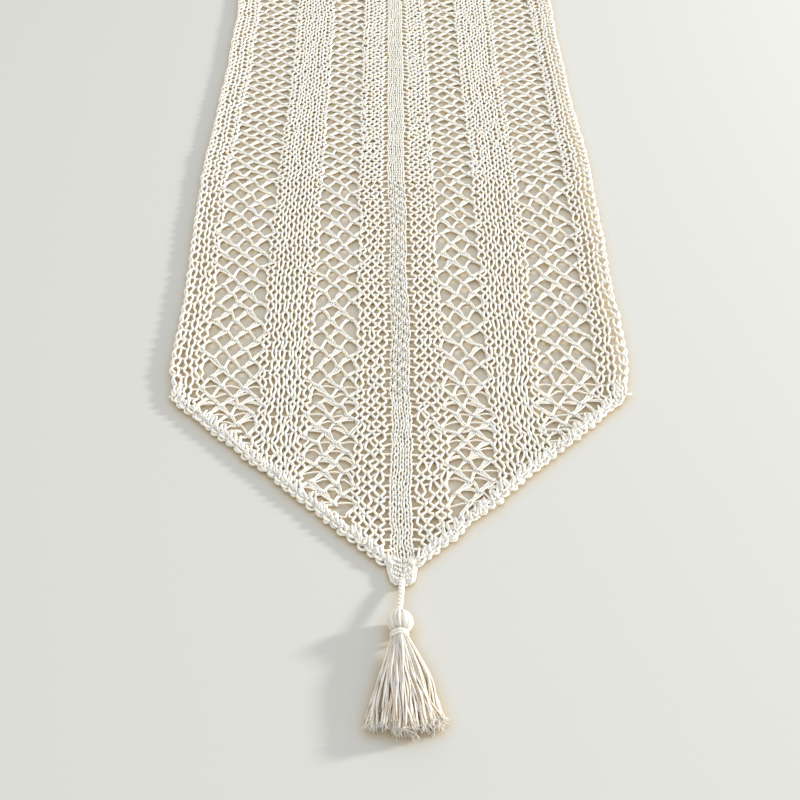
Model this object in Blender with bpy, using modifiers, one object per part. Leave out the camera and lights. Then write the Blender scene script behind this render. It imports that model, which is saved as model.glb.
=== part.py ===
"""Knitted lace table runner with pointed ends and a tassel at each tip.

Frame: +Y runs along the runner, +X across it and +Z up. The origin is the middle of the underside.
End "a" is the one at -Y and "left" is -X, as seen from end "a". The cloth is knitted in stitch bands
that run the whole length, and every band is cut at the fold lines: across the middle, and where the
pointed ends begin.
"""

import math

import bmesh
import bpy
from mathutils import Vector

# The knitted cloth
CLOTH_WIDTH = 0.356
CLOTH_LENGTH = 1.370  # from tip to tip, without the tassels
CLOTH_THICKNESS = 0.0035
POINT_LENGTH = 0.172  # from the corners to the tip
EDGE_BAND_WIDTH = 0.017
DENSE_BAND_WIDTH = 0.0265
INNER_LATTICE_WIDTH = 0.0487
MESH_BAND_WIDTH = 0.0188
CENTRE_RIB_WIDTH = 0.016

# The crochet edging along both slanted edges of each point, and the cluster of stitches at the tip
EDGING_WIDTH = 0.0080
EDGING_HEIGHT = 0.0046
TIP_KNOT_RADIUS = 0.008
TIP_KNOT_HEIGHT = 0.0052

# The tassels
CORD_DIAMETER = 0.0045
CORD_REACH = 0.0216  # from the tip of the cloth to the tassel's head, along the table
HEAD_DIAMETER = 0.0174
BINDING_LENGTH = 0.0045
BINDING_DIAMETER = 0.0132
NECK_DIAMETER = 0.0092
SKIRT_LENGTH = 0.061
SKIRT_WIDTH = 0.046
SKIRT_HEIGHT = 0.0135
SKIRT_SPREADING = 0.75  # under 1 the strands spread most beside the neck, at 1 they spread evenly
SKIRT_RESTING_SHARE = 0.7  # the share of the skirt's length in which its middle comes down to the table

# Clearances
SEAM_GAP = 0.0003  # between pieces that touch on the real runner
FOLD_GAP = 0.0006  # between the two halves when one is folded over the other

# How finely round shapes are divided
ROUND_STEPS = 24
HALF_ROUND_STEPS = 6
EDGING_STEPS = 12
SKIRT_STEPS = 7

# What follows from the sizes above
HALF_WIDTH = CLOTH_WIDTH / 2
HALF_LENGTH = CLOTH_LENGTH / 2
CORNER = HALF_LENGTH - POINT_LENGTH  # the fold line of each point, as a distance from the middle
OUTER_LATTICE_WIDTH = (
    HALF_WIDTH
    - EDGE_BAND_WIDTH
    - DENSE_BAND_WIDTH
    - INNER_LATTICE_WIDTH
    - MESH_BAND_WIDTH
    - CENTRE_RIB_WIDTH / 2
)
MIDDLE_FOLD_HEIGHT = CLOTH_THICKNESS + FOLD_GAP / 2  # the axis on which one half folds over the other
FOLD_RADIUS = CLOTH_THICKNESS / 2  # each half ends in a rolled edge round the point's fold line
POINT_START = CORNER + FOLD_RADIUS + SEAM_GAP
SLANT = math.hypot(HALF_WIDTH, POINT_LENGTH)
SLANT_ALONG = POINT_LENGTH / SLANT
SLANT_ACROSS = HALF_WIDTH / SLANT
TIP_KNOT_CENTRE = HALF_LENGTH - TIP_KNOT_RADIUS
RIB_END = TIP_KNOT_CENTRE - TIP_KNOT_RADIUS - SEAM_GAP
CORD_RADIUS = CORD_DIAMETER / 2
HEAD_RADIUS = HEAD_DIAMETER / 2
CORD_START = HALF_LENGTH + CORD_RADIUS + SEAM_GAP  # the axis on which cord and tassel drop
CORD_END = HALF_LENGTH + CORD_REACH - CORD_RADIUS - SEAM_GAP  # the axis on which the tassel swings
CORD_START_HEIGHT = TIP_KNOT_HEIGHT / 2
HEAD_START = HALF_LENGTH + CORD_REACH
HEAD_CENTRE = HEAD_START + HEAD_RADIUS
HEAD_END = HEAD_START + HEAD_DIAMETER
BINDING_START = HEAD_END + SEAM_GAP
SKIRT_START = BINDING_START + BINDING_LENGTH + SEAM_GAP
SKIRT_END = SKIRT_START + SKIRT_LENGTH

ENDS = {"a": -1, "b": 1}  # which way each end points along Y
SIDES = {"left": -1, "right": 1}
YARN_CREAM = (0.871, 0.831, 0.730, 1.0)
YARN_BRIGHT = (0.900, 0.865, 0.775, 1.0)
YARN_SHADED = (0.830, 0.770, 0.640, 1.0)
YARN_ROUGHNESS = 0.9
YARN_SHEEN = 0.3
SMOOTHING_ANGLE = math.radians(40)
MERGE_DISTANCE = 0.00001


def clear_scene():
    for obj in list(bpy.data.objects):
        bpy.data.objects.remove(obj, do_unlink=True)


def yarn_material(name, colour):
    material = bpy.data.materials.get(name) or bpy.data.materials.new(name)
    material.use_nodes = True
    shader = material.node_tree.nodes["Principled BSDF"]
    shader.inputs["Base Color"].default_value = colour
    shader.inputs["Roughness"].default_value = YARN_ROUGHNESS
    shader.inputs["Metallic"].default_value = 0.0
    shader.inputs["Sheen Weight"].default_value = YARN_SHEEN
    return material


def new_collection(name):
    collection = bpy.data.collections.new(name)
    bpy.context.scene.collection.children.link(collection)
    return collection


def add_object(collection, name, data, material):
    obj = bpy.data.objects.new(name, data)
    data.materials.append(material)
    collection.objects.link(obj)
    return obj


def add_axis(collection, name, place):
    """An empty on a joint's axis. Whatever turns on that joint hangs from it."""
    axis = bpy.data.objects.new(name, None)
    axis.empty_display_size = HEAD_DIAMETER
    axis.location = place
    collection.objects.link(axis)
    return axis


def hang(pieces, parent):
    """Makes the pieces turn with their parent, and leaves them where they are."""
    bpy.context.view_layer.update()
    for piece in pieces:
        piece.parent = parent
        piece.matrix_parent_inverse = parent.matrix_world.inverted()


def flat_piece(collection, name, outline, depth, material):
    """An outline in the object's own XY plane, extruded by depth, half to each side."""
    curve = bpy.data.curves.new(name, "CURVE")
    curve.dimensions = "2D"
    curve.fill_mode = "BOTH"
    curve.extrude = depth / 2
    spline = curve.splines.new("POLY")
    spline.points.add(len(outline) - 1)
    for point, (x, y) in zip(spline.points, outline):
        point.co = (x, y, 0.0, 1.0)
    spline.use_cyclic_u = True
    return add_object(collection, name, curve, material)


def mesh_piece(collection, name, bm, material):
    bmesh.ops.recalc_face_normals(bm, faces=bm.faces)
    mesh = bpy.data.meshes.new(name)
    bm.to_mesh(mesh)
    bm.free()
    mesh.shade_smooth()
    mesh.set_sharp_from_angle(angle=SMOOTHING_ANGLE)
    return add_object(collection, name, mesh, material)


def turned_piece(collection, name, points, edges, material):
    """A profile of (radius, height) turned about the object's own Z."""
    mesh = bpy.data.meshes.new(name)
    mesh.from_pydata([(radius, 0.0, height) for radius, height in points], edges, [])
    piece = add_object(collection, name, mesh, material)
    screw = piece.modifiers.new("turned", "SCREW")
    screw.steps = ROUND_STEPS
    screw.render_steps = ROUND_STEPS
    screw.use_merge_vertices = True
    screw.merge_threshold = MERGE_DISTANCE
    return piece


def half_bands():
    """Each band beside the centre rib: its name, and its inner and outer distance from the centre line."""
    bands = []
    inner = CENTRE_RIB_WIDTH / 2
    widths = {
        "mesh": MESH_BAND_WIDTH,
        "inner_lattice": INNER_LATTICE_WIDTH,
        "dense": DENSE_BAND_WIDTH,
        "outer_lattice": OUTER_LATTICE_WIDTH,
        "edge": EDGE_BAND_WIDTH,
    }
    for name, width in widths.items():
        outer = inner + width
        bands.append((name, inner, outer))
        inner = outer
    return bands


def bands():
    """Every band from left to right: its name and its two edges, less half a seam gap between bands."""
    half_gap = SEAM_GAP / 2
    rib_half = CENTRE_RIB_WIDTH / 2 - half_gap
    found = [("centre_rib", -rib_half, rib_half)]
    for name, inner, outer in half_bands():
        outer_gap = 0.0 if name == "edge" else half_gap
        for side, sign in SIDES.items():
            edges = sorted((sign * (inner + half_gap), sign * (outer - outer_gap)))
            found.append((f"{name}_{side}", edges[0], edges[1]))
    return sorted(found, key=lambda band: band[1])


def rolled_profile():
    """A half band seen from the side: a flat strip whose outer end is rolled round the fold line."""
    profile = [(SEAM_GAP / 2, 0.0)]
    for step in range(2 * HALF_ROUND_STEPS + 1):
        angle = math.pi * (step / (2 * HALF_ROUND_STEPS) - 0.5)
        along = CORNER + FOLD_RADIUS * math.cos(angle)
        profile.append((along, FOLD_RADIUS + FOLD_RADIUS * math.sin(angle)))
    profile.append((SEAM_GAP / 2, CLOTH_THICKNESS))
    return profile


def slanted_cut(across):
    """How far out the knitted cloth of a point reaches, at this distance from the centre line."""
    edging = (EDGING_WIDTH + SEAM_GAP) / SLANT_ACROSS
    return HALF_LENGTH - abs(across) * POINT_LENGTH / HALF_WIDTH - edging


def point_outline(low, high):
    """A band's piece of a point, as distances across and out from the middle."""
    reach = (slanted_cut(0.0) - POINT_START) * HALF_WIDTH / POINT_LENGTH
    blunt = (slanted_cut(0.0) - RIB_END) * HALF_WIDTH / POINT_LENGTH
    low = max(low, -reach)
    high = min(high, reach)
    inside = [across for across in (-blunt, blunt) if low < across < high]
    stops = [low, *inside, high]
    outline = [(high, POINT_START), (low, POINT_START)]
    for across in stops:
        outline.append((across, min(slanted_cut(across), RIB_END)))
    corners = []
    for corner in outline:
        if not corners or math.dist(corner, corners[-1]) > SEAM_GAP:
            corners.append(corner)
    return corners if math.dist(corners[0], corners[-1]) > SEAM_GAP else corners[:-1]


def add_half(collection, end, direction, material):
    pieces = []
    for name, low, high in bands():
        piece = flat_piece(collection, f"half_{end}_{name}", rolled_profile(), high - low, material)
        piece.location = ((low + high) / 2, 0.0, 0.0)
        piece.rotation_euler = (math.pi / 2, 0.0, direction * math.pi / 2)
        pieces.append(piece)
    return pieces


def add_point(collection, end, direction, material):
    pieces = []
    for name, low, high in bands():
        if name.startswith("edge"):
            continue  # the edging takes the corner where this band would end
        outline = [(across, direction * out) for across, out in point_outline(low, high)]
        piece = flat_piece(collection, f"point_{end}_{name}", outline, CLOTH_THICKNESS, material)
        piece.location.z = CLOTH_THICKNESS / 2
        pieces.append(piece)
    return pieces


def add_edging(collection, end, direction, material):
    """One flattened rope of crochet along each slanted edge, from the corner to the cluster at the tip."""
    radius = EDGING_WIDTH / 2
    out_start = POINT_START + radius
    inset = radius / SLANT_ACROSS
    start_across = (HALF_LENGTH - inset - out_start) * HALF_WIDTH / POINT_LENGTH
    to_knot = TIP_KNOT_CENTRE - out_start
    run = start_across * SLANT_ACROSS + to_knot * SLANT_ALONG - TIP_KNOT_RADIUS - SEAM_GAP
    pieces = []
    for side, sign in SIDES.items():
        curve = bpy.data.curves.new(f"edging_{end}_{side}", "CURVE")
        curve.dimensions = "3D"
        curve.bevel_depth = radius
        curve.bevel_resolution = 3
        curve.use_fill_caps = True
        spline = curve.splines.new("POLY")
        spline.points.add(EDGING_STEPS)
        for step, point in enumerate(spline.points):
            gone = run * step / EDGING_STEPS
            across = start_across - gone * SLANT_ACROSS
            out = out_start + gone * SLANT_ALONG
            point.co = (sign * across, direction * out, 0.0, 1.0)
        piece = add_object(collection, curve.name, curve, material)
        piece.scale.z = EDGING_HEIGHT / EDGING_WIDTH
        piece.location.z = EDGING_HEIGHT / 2
        pieces.append(piece)
    return pieces


def add_tip_knot(collection, end, direction, material):
    bm = bmesh.new()
    across, up = ROUND_STEPS, ROUND_STEPS // 2
    bmesh.ops.create_uvsphere(bm, u_segments=across, v_segments=up, radius=TIP_KNOT_RADIUS)
    bmesh.ops.scale(bm, verts=bm.verts, vec=(1.0, 1.0, TIP_KNOT_HEIGHT / (2 * TIP_KNOT_RADIUS)))
    piece = mesh_piece(collection, f"tip_knot_{end}", bm, material)
    piece.location = (0.0, direction * TIP_KNOT_CENTRE, TIP_KNOT_HEIGHT / 2)
    return piece


def rod_profile(length):
    """A round-ended rod whose half balls are centred on its two axes, at its length and at the origin."""
    points = []
    for centre, first_angle in ((length, math.pi / 2), (0.0, 0.0)):
        for step in range(HALF_ROUND_STEPS + 1):
            angle = first_angle - math.pi / 2 * step / HALF_ROUND_STEPS
            points.append((CORD_RADIUS * math.cos(angle), centre + CORD_RADIUS * math.sin(angle)))
    return points


def add_cord(collection, end, direction, material):
    """The hanging cord. Its origin is on the axis on which it drops from the tip."""
    start = Vector((0.0, direction * CORD_START, CORD_START_HEIGHT))
    way = Vector((0.0, direction * CORD_END, HEAD_RADIUS)) - start
    points = rod_profile(way.length)
    edges = [(index, index + 1) for index in range(len(points) - 1)]
    piece = turned_piece(collection, f"hanging_cord_{end}", points, edges, material)
    piece.location = start
    piece.rotation_mode = "QUATERNION"
    piece.rotation_quaternion = Vector((0.0, 0.0, 1.0)).rotation_difference(way)
    return piece


def add_head(collection, end, direction, material):
    bm = bmesh.new()
    bmesh.ops.create_uvsphere(bm, u_segments=ROUND_STEPS, v_segments=ROUND_STEPS // 2, radius=HEAD_RADIUS)
    piece = mesh_piece(collection, f"tassel_head_{end}", bm, material)
    piece.location = (0.0, direction * HEAD_CENTRE, HEAD_RADIUS)
    piece.rotation_euler.x = -direction * math.pi / 2
    return piece


def add_binding(collection, end, direction, material):
    """The yarn wound round the tassel's neck: a turned ring with a round outside."""
    outer = BINDING_DIAMETER / 2
    inner = NECK_DIAMETER / 2 + SEAM_GAP
    bulge = (outer - inner) / 2
    points = [(inner, BINDING_LENGTH)]
    for step in range(HALF_ROUND_STEPS + 1):
        angle = math.pi * (0.5 - step / HALF_ROUND_STEPS)
        height = BINDING_LENGTH / 2 + BINDING_LENGTH / 2 * math.sin(angle)
        points.append((inner + bulge + bulge * math.cos(angle), height))
    points.append((inner, 0.0))
    edges = [(index, (index + 1) % len(points)) for index in range(len(points))]
    piece = turned_piece(collection, f"tassel_binding_{end}", points, edges, material)
    piece.location = (0.0, direction * BINDING_START, HEAD_RADIUS)
    piece.rotation_euler.x = -direction * math.pi / 2
    return piece


def skirt_sections():
    """Each section from the neck to the cut ends: distance out, half width, half height, middle height."""
    neck = NECK_DIAMETER / 2
    flare_start = BINDING_DIAMETER / 2 - SEAM_GAP
    end_width = SKIRT_WIDTH / 2
    end_height = SKIRT_HEIGHT / 2
    sections = [
        (BINDING_START, neck, neck, HEAD_RADIUS),
        (SKIRT_START, neck, neck, HEAD_RADIUS),
    ]
    for step in range(SKIRT_STEPS + 1):
        share = step / SKIRT_STEPS
        spread = share**SKIRT_SPREADING
        width = flare_start + (end_width - flare_start) * spread
        height = flare_start + (end_height - flare_start) * spread
        middle = HEAD_RADIUS + (end_height - HEAD_RADIUS) * min(1.0, share / SKIRT_RESTING_SHARE)
        out = SKIRT_START + SEAM_GAP + (SKIRT_LENGTH - SEAM_GAP) * share
        sections.append((out, width, height, max(middle, height)))
    return sections


def add_skirt(collection, end, direction, material):
    """The cut strands below the neck: round at the neck, wide and flat where they lie on the table."""
    bm = bmesh.new()
    rings = []
    for out, half_width, half_height, middle in skirt_sections():
        ring = []
        for step in range(ROUND_STEPS):
            angle = 2 * math.pi * step / ROUND_STEPS
            across = half_width * math.cos(angle)
            height = middle + half_height * math.sin(angle)
            ring.append(bm.verts.new((across, direction * out, height)))
        rings.append(ring)
    for ring, following in zip(rings, rings[1:]):
        for step in range(ROUND_STEPS):
            beside = (step + 1) % ROUND_STEPS
            bm.faces.new((ring[step], ring[beside], following[beside], following[step]))
    bm.faces.new(rings[0])
    bm.faces.new(rings[-1])
    return mesh_piece(collection, f"tassel_skirt_{end}", bm, material)


def add_end(collection, end, direction, materials):
    """One half of the runner. Its point, its cord and its tassel each hang from the piece before."""
    half = add_half(collection, end, direction, materials["knit"])
    point = add_point(collection, end, direction, materials["knit"])
    point += add_edging(collection, end, direction, materials["edging"])
    point.append(add_tip_knot(collection, end, direction, materials["edging"]))
    cord = add_cord(collection, end, direction, materials["cord"])
    tassel = [
        add_head(collection, end, direction, materials["tassel"]),
        add_binding(collection, end, direction, materials["binding"]),
        add_skirt(collection, end, direction, materials["tassel"]),
    ]
    drop_place = (0.0, direction * CORNER, CLOTH_THICKNESS / 2)
    drop_axis = add_axis(collection, f"point_drop_axis_{end}", drop_place)
    swing_place = (0.0, direction * CORD_END, HEAD_RADIUS)
    swing_axis = add_axis(collection, f"tassel_swing_axis_{end}", swing_place)
    hang(tassel, swing_axis)
    hang([swing_axis], cord)
    hang([cord, *point], drop_axis)
    return [*half, drop_axis]


def build():
    clear_scene()
    runner = new_collection("table_runner")
    materials = {
        "knit": yarn_material("knit_yarn", YARN_CREAM),
        "edging": yarn_material("edging_yarn", YARN_BRIGHT),
        "cord": yarn_material("cord_yarn", YARN_CREAM),
        "tassel": yarn_material("tassel_yarn", YARN_SHADED),
        "binding": yarn_material("binding_yarn", YARN_BRIGHT),
    }
    halves = {end: add_end(runner, end, direction, materials) for end, direction in ENDS.items()}
    fold_axis = add_axis(runner, "middle_fold_axis", (0.0, 0.0, MIDDLE_FOLD_HEIGHT))
    hang(halves["b"], fold_axis)


build()
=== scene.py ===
"""Looks of the knitted lace table runner: every yarn of the lace, the crochet edging and the tassels."""

import math

import bpy
import numpy as np
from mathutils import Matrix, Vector


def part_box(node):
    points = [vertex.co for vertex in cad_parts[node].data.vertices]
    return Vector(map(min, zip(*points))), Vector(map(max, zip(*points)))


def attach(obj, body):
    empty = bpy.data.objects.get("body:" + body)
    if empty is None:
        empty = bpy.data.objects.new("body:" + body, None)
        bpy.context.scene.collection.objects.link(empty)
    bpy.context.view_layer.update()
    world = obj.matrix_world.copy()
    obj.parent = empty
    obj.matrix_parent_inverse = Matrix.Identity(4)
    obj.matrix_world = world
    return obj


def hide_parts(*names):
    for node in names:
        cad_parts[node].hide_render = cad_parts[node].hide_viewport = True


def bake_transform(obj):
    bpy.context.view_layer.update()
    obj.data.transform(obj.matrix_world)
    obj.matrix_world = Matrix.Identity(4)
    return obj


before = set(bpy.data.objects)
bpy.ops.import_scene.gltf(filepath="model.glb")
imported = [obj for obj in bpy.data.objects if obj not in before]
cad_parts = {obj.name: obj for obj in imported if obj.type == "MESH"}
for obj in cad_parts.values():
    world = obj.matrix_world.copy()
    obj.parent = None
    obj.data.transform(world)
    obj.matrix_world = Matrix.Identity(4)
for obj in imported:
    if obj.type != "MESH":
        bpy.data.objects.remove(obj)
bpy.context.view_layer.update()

# Yarn
YARN = 0.00096  # radius of the knitting yarn
LATTICE_YARN = 0.00075  # and where it is stretched thin, between the holes
THICKER = 1.06  # how much thicker the rows' yarn is in the tighter middle section
YARN_SIDES = 7
END_STEP = 0.02  # how far a yarn's rounded end stands out, as a share of its last step
STEEP = 0.93  # a yarn whose direction rises more than this is built round another upward axis
END_COURSE = 0.0110  # height of a row of stitches in the open end sections
BODY_COURSE = 0.0084  # and in the tighter middle section
POINT_COURSE = 0.0094  # and in the pointed ends
CHANGE = 0.231  # distance from the middle at which the stitches change
SWELL, SWELL_SPREAD = 0.0045, 0.13  # how far the sides belly out where the stitches change, over what length
PULL, PULL_SPREAD = 0.0045, 0.022  # and how far they are pulled in at the corners
WIDE_SHIFT = (0.0007, 0.0012)  # how far the cloth's wide waves move a stitch across and along it
NEAR_SHIFT = (0.0005, 0.0006)  # and its short ones
STITCH_SHIFT = (0.00050, 0.00065)  # the spread of a stitch's own place across and along the cloth
STITCH_WIDTH_SPREAD = 0.13
POINT_LOOSE = 1.7  # how much more uneven the stitches of the points are
EDGING_DEPTH = 0.0068  # from the slanted outline to where the edging takes hold of the lace
CURL = 0.0020  # how far the edges of the cloth curl up from the table
CURL_WIDTH = 0.030
EYELETS = 0.0032  # width of the column of eyelets between the rib and the first wale
LACE_INSET = 0.0070  # how far across the lace ends inside the slanted outline
ROW_SLANT = 0.0035  # how much further out a row may reach than the next one's level allows
WALE_ROOM = 0.0028  # what the last wale of a row needs beside it
HOLE_ROOM = 0.006  # and what a hole's second strand needs

ENDS = {"a": -1, "b": 1}
SIDES = {"left": -1, "right": 1}
BANDS = ("mesh", "inner_lattice", "dense", "outer_lattice", "edge")
# Columns of stitches in each band, on one side
WALES = {"mesh": 2, "inner_lattice": 6, "dense": 4, "outer_lattice": 7, "edge": 2}

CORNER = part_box("half_b_edge_right")[1].y
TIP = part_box("tip_knot_b")[1].y
HALF_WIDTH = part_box("half_b_edge_right")[1].x
RIB_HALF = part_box("half_b_centre_rib")[1].x
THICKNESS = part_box("half_b_dense_right")[1].z


def band_span(name):
    """Inner and outer distance of a band from the centre line."""
    low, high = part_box(f"half_b_{name}_right")
    return low.x, high.x


# ---------------------------------------------------------------- yarn meshes


def rng(*key):
    """A seeded random generator of its own for each key."""
    return np.random.default_rng([ord(c) for c in "|".join(str(k) for k in key)])


def smooth_noise(seed, scale):
    """A smooth random function of (x, y) made of a few waves, about -1 to 1."""
    r = rng("noise", seed)
    turn = r.uniform(0, 2 * math.pi, 7)
    freq = (2 * math.pi / scale) * r.uniform(0.55, 1.5, 7)
    phase = r.uniform(0, 2 * math.pi, 7)

    def at(x, y):
        total = 0.0
        for a, f, p in zip(turn, freq, phase):
            total = total + np.sin(f * (x * math.cos(a) + y * math.sin(a)) + p)
        return total / 2.6

    return at


def smooth_line(points, per_segment):
    """A Catmull-Rom line through the points, with this many steps between neighbours."""
    p = np.asarray(points, float)
    p = np.vstack([2 * p[0] - p[1], p, 2 * p[-1] - p[-2]])
    t = np.arange(per_segment) / per_segment
    t = t[None, :, None]
    a, b, c, d = p[:-3, None], p[1:-2, None], p[2:-1, None], p[3:, None]
    curve = 0.5 * (2 * b + (c - a) * t + (2 * a - 5 * b + 4 * c - d) * t**2 + (3 * b - a - 3 * c + d) * t**3)
    return np.vstack([curve.reshape(-1, 3), p[-2]])


class Yarns:
    """Collects tubes along lines and makes one mesh of them, with length and turn along each yarn as UV."""

    def __init__(self):
        self.verts, self.faces, self.uvs, self.caps = [], [], [], []
        self.count = 0

    def add(self, line, radius, sides=YARN_SIDES):
        """Adds a tube with rounded ends along a line; its radius is one number or one for each point."""
        line = np.asarray(line, float)
        radius = np.broadcast_to(np.asarray(radius, float), (len(line),))
        before = line[:1] - (line[1] - line[0]) * END_STEP
        after = line[-1:] + (line[-1] - line[-2]) * END_STEP
        line = np.vstack([before, line, after])
        radius = np.concatenate([radius[:1] * 0.5, radius, radius[-1:] * 0.5])
        n = len(line)
        tangent = np.gradient(line, axis=0)
        tangent /= np.linalg.norm(tangent, axis=1, keepdims=True) + 1e-12
        up = np.tile([0.0, 0.0, 1.0], (n, 1))
        steep = np.abs(tangent[:, 2]) > STEEP
        up[steep] = [0.0, 1.0, 0.0]
        across = np.cross(tangent, up)
        across /= np.linalg.norm(across, axis=1, keepdims=True) + 1e-12
        over = np.cross(across, tangent)
        angle = 2 * math.pi * np.arange(sides) / sides
        cosine, sine = np.cos(angle)[None, :, None], np.sin(angle)[None, :, None]
        ring = line[:, None] + radius[:, None, None] * (cosine * across[:, None] + sine * over[:, None])
        length = np.concatenate([[0], np.cumsum(np.linalg.norm(np.diff(line, axis=0), axis=1))])
        length += (len(self.verts) * 0.6180339) % 7.0  # sets each yarn's tone apart from the next one's
        i = np.arange(n - 1)[:, None]
        k = np.arange(sides)[None, :]
        k2 = (k + 1) % sides
        this, following = i * sides, (i + 1) * sides
        quads = np.stack([this + k, this + k2, following + k2, following + k], -1).reshape(-1, 4)
        near, far = length[i + 0 * k], length[i + 1 + 0 * k]
        u = np.stack([near, near, far, far], -1)
        v = np.stack([k + 0 * i, k + 1 + 0 * i, k + 1 + 0 * i, k + 0 * i], -1) / sides
        self.verts.append(ring.reshape(-1, 3))
        self.faces.append(quads + self.count)
        self.uvs.append(np.stack([u.reshape(-1), v.reshape(-1)], -1))
        first = self.count + np.arange(sides)[::-1]
        last = self.count + (n - 1) * sides + np.arange(sides)
        self.caps.append((first, last))
        self.count += n * sides

    def mesh(self, name):
        """One mesh of all the tubes, each closed by a cap at both ends."""
        verts = np.vstack(self.verts).astype(np.float32)
        quads = np.vstack(self.faces).astype(np.int32)
        uv = np.vstack(self.uvs).astype(np.float32)
        caps = [c for pair in self.caps for c in pair]
        loops = np.concatenate([quads.reshape(-1)] + caps).astype(np.int32)
        starts = np.arange(len(quads)) * 4
        sizes = np.array([len(c) for c in caps])
        cap_starts = len(quads) * 4 + np.concatenate([[0], np.cumsum(sizes)[:-1]])
        mesh = bpy.data.meshes.new(name)
        mesh.vertices.add(len(verts))
        mesh.vertices.foreach_set("co", verts.ravel())
        mesh.loops.add(len(loops))
        mesh.loops.foreach_set("vertex_index", loops)
        mesh.polygons.add(len(quads) + len(caps))
        mesh.polygons.foreach_set("loop_start", np.concatenate([starts, cap_starts]).astype(np.int32))
        mesh.update(calc_edges=True)
        layer = mesh.uv_layers.new(name="yarn")
        cap_uv = np.zeros((len(loops) - 4 * len(quads), 2), np.float32)
        layer.data.foreach_set("uv", np.vstack([uv, cap_uv]).ravel())
        mesh.shade_smooth()
        mesh.validate()
        return mesh

    def object(self, name, material, slot):
        """A piece of the scene made of all the tubes."""
        obj = bpy.data.objects.new(name, self.mesh(name))
        bpy.context.scene.collection.objects.link(obj)
        obj.data.materials.append(material)
        return obj


# ---------------------------------------------------------------- the lace


def courses():
    """The boundaries of the rows, as distances from the middle, from 0 to the tip."""
    body_rows = round(CHANGE / BODY_COURSE)
    rows = [CHANGE * i / body_rows for i in range(body_rows + 1)]
    end_rows = round((CORNER - CHANGE) / END_COURSE)
    rows += [CHANGE + (CORNER - CHANGE) * (i + 1) / end_rows for i in range(end_rows)]
    point_rows = round((TIP - CORNER) / POINT_COURSE)
    rows += [CORNER + (TIP - CORNER) * (i + 1) / point_rows for i in range(point_rows)]
    return np.array(rows)


ROWS = courses()


def columns():
    """Wale centres of one side and the band of each, from the rib outwards."""
    found = []
    for band in BANDS:
        inner, outer = band_span(band)
        if band == "mesh":
            inner += EYELETS
        count = WALES[band]
        for i in range(count):
            found.append((inner + (outer - inner) * (i + 0.5) / count, band, i))
    return found


COLUMNS = columns()
WIDE_NOISE_X = smooth_noise("wide x", 0.09)
WIDE_NOISE_Y = smooth_noise("wide y", 0.11)
NEAR_NOISE_X = smooth_noise("near x", 0.023)
NEAR_NOISE_Y = smooth_noise("near y", 0.021)
HEIGHT_NOISE = smooth_noise("height", 0.05)


def belly(y):
    """How much wider the cloth is at this distance from the middle."""
    y = np.abs(y)
    corner = PULL * np.exp(-(((y - CORNER) / PULL_SPREAD) ** 2))
    return 1.0 + (SWELL * np.exp(-(((y - CHANGE) / SWELL_SPREAD) ** 2)) - corner) / HALF_WIDTH


def place(x, y):
    """A point of the even pattern, moved as the real stitches are: belly, slow waves and unevenness."""
    x2 = x * belly(y) + WIDE_SHIFT[0] * WIDE_NOISE_X(x, y) + NEAR_SHIFT[0] * NEAR_NOISE_X(x, y)
    y2 = y + WIDE_SHIFT[1] * WIDE_NOISE_Y(x, y) + NEAR_SHIFT[1] * NEAR_NOISE_Y(x, y)
    return x2, y2


def slanted_edge(x):
    """Where the edging takes hold of the lace of the point, at this distance from the centre line."""
    return TIP - abs(x) * (TIP - CORNER) / HALF_WIDTH - EDGING_DEPTH


def lift(x, y):
    """How far the cloth stands off the table near its edges, where knitting curls."""
    x, y = np.abs(x), np.abs(y)
    slant = (slanted_edge(x) + EDGING_DEPTH - y) * math.cos(math.atan2(TIP - CORNER, HALF_WIDTH))
    inside = np.clip(np.minimum(HALF_WIDTH - x, slant) / CURL_WIDTH, 0, 1)
    return CURL * (1 - inside * inside * (3 - 2 * inside))


# ---------------------------------------------------------------- the lace: rows of loops

LOW = YARN + 0.0001  # height of the yarn's middle where it passes under
HIGH = THICKNESS - YARN + 0.0003  # and where it passes over
HEAD_REACH = 0.0017  # how far a loop's head passes beyond the stitch that holds it


def row_levels():
    """Where the rows begin, from end a to end b."""
    outward = list(ROWS)
    return np.array([-y for y in reversed(outward)] + outward[1:])


LEVELS = row_levels()


def limit(y):
    """Half the width of the cloth at y, inside the edging."""
    if abs(y) <= CORNER:
        return HALF_WIDTH
    return max(0.0, (TIP - abs(y)) * HALF_WIDTH / (TIP - CORNER) - LACE_INSET)


def row_room(r):
    """How far from the centre line row r may reach."""
    return min(limit(LEVELS[r]), limit(LEVELS[r + 1]) + ROW_SLANT)


class Stitches:
    """The grid of stitches on one side of the rib, with its unevenness."""

    def __init__(self, side):
        self.sign = SIDES[side]
        r = rng("nodes", side)
        shape = (len(COLUMNS) + 2, len(LEVELS) + 2)
        loose = np.where(np.abs(np.append(LEVELS, [0, 0])) > CORNER, POINT_LOOSE, 1.0)
        self.dx = r.normal(0, STITCH_SHIFT[0], shape) * loose
        self.dy = r.normal(0, STITCH_SHIFT[1], shape) * loose
        self.lean = np.where(r.random(shape) < 0.5, -1, 1)
        self.width = r.normal(1.0, STITCH_WIDTH_SPREAD, shape)

    def node(self, c, r):
        """Where the stitch of column c and row r stands."""
        return COLUMNS[c][0] + self.dx[c, r], LEVELS[r] + self.dy[c, r]


def is_hole(band, i, r):
    """Whether this stitch of a lattice band is a yarn over in row r."""
    if band == "outer_lattice":
        return (i in (1, 3, 5)) if r % 2 else (i in (2, 4))
    if band == "inner_lattice":
        return (i in (1, 3)) if r % 2 else (i in (2, 4))
    return False


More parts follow.
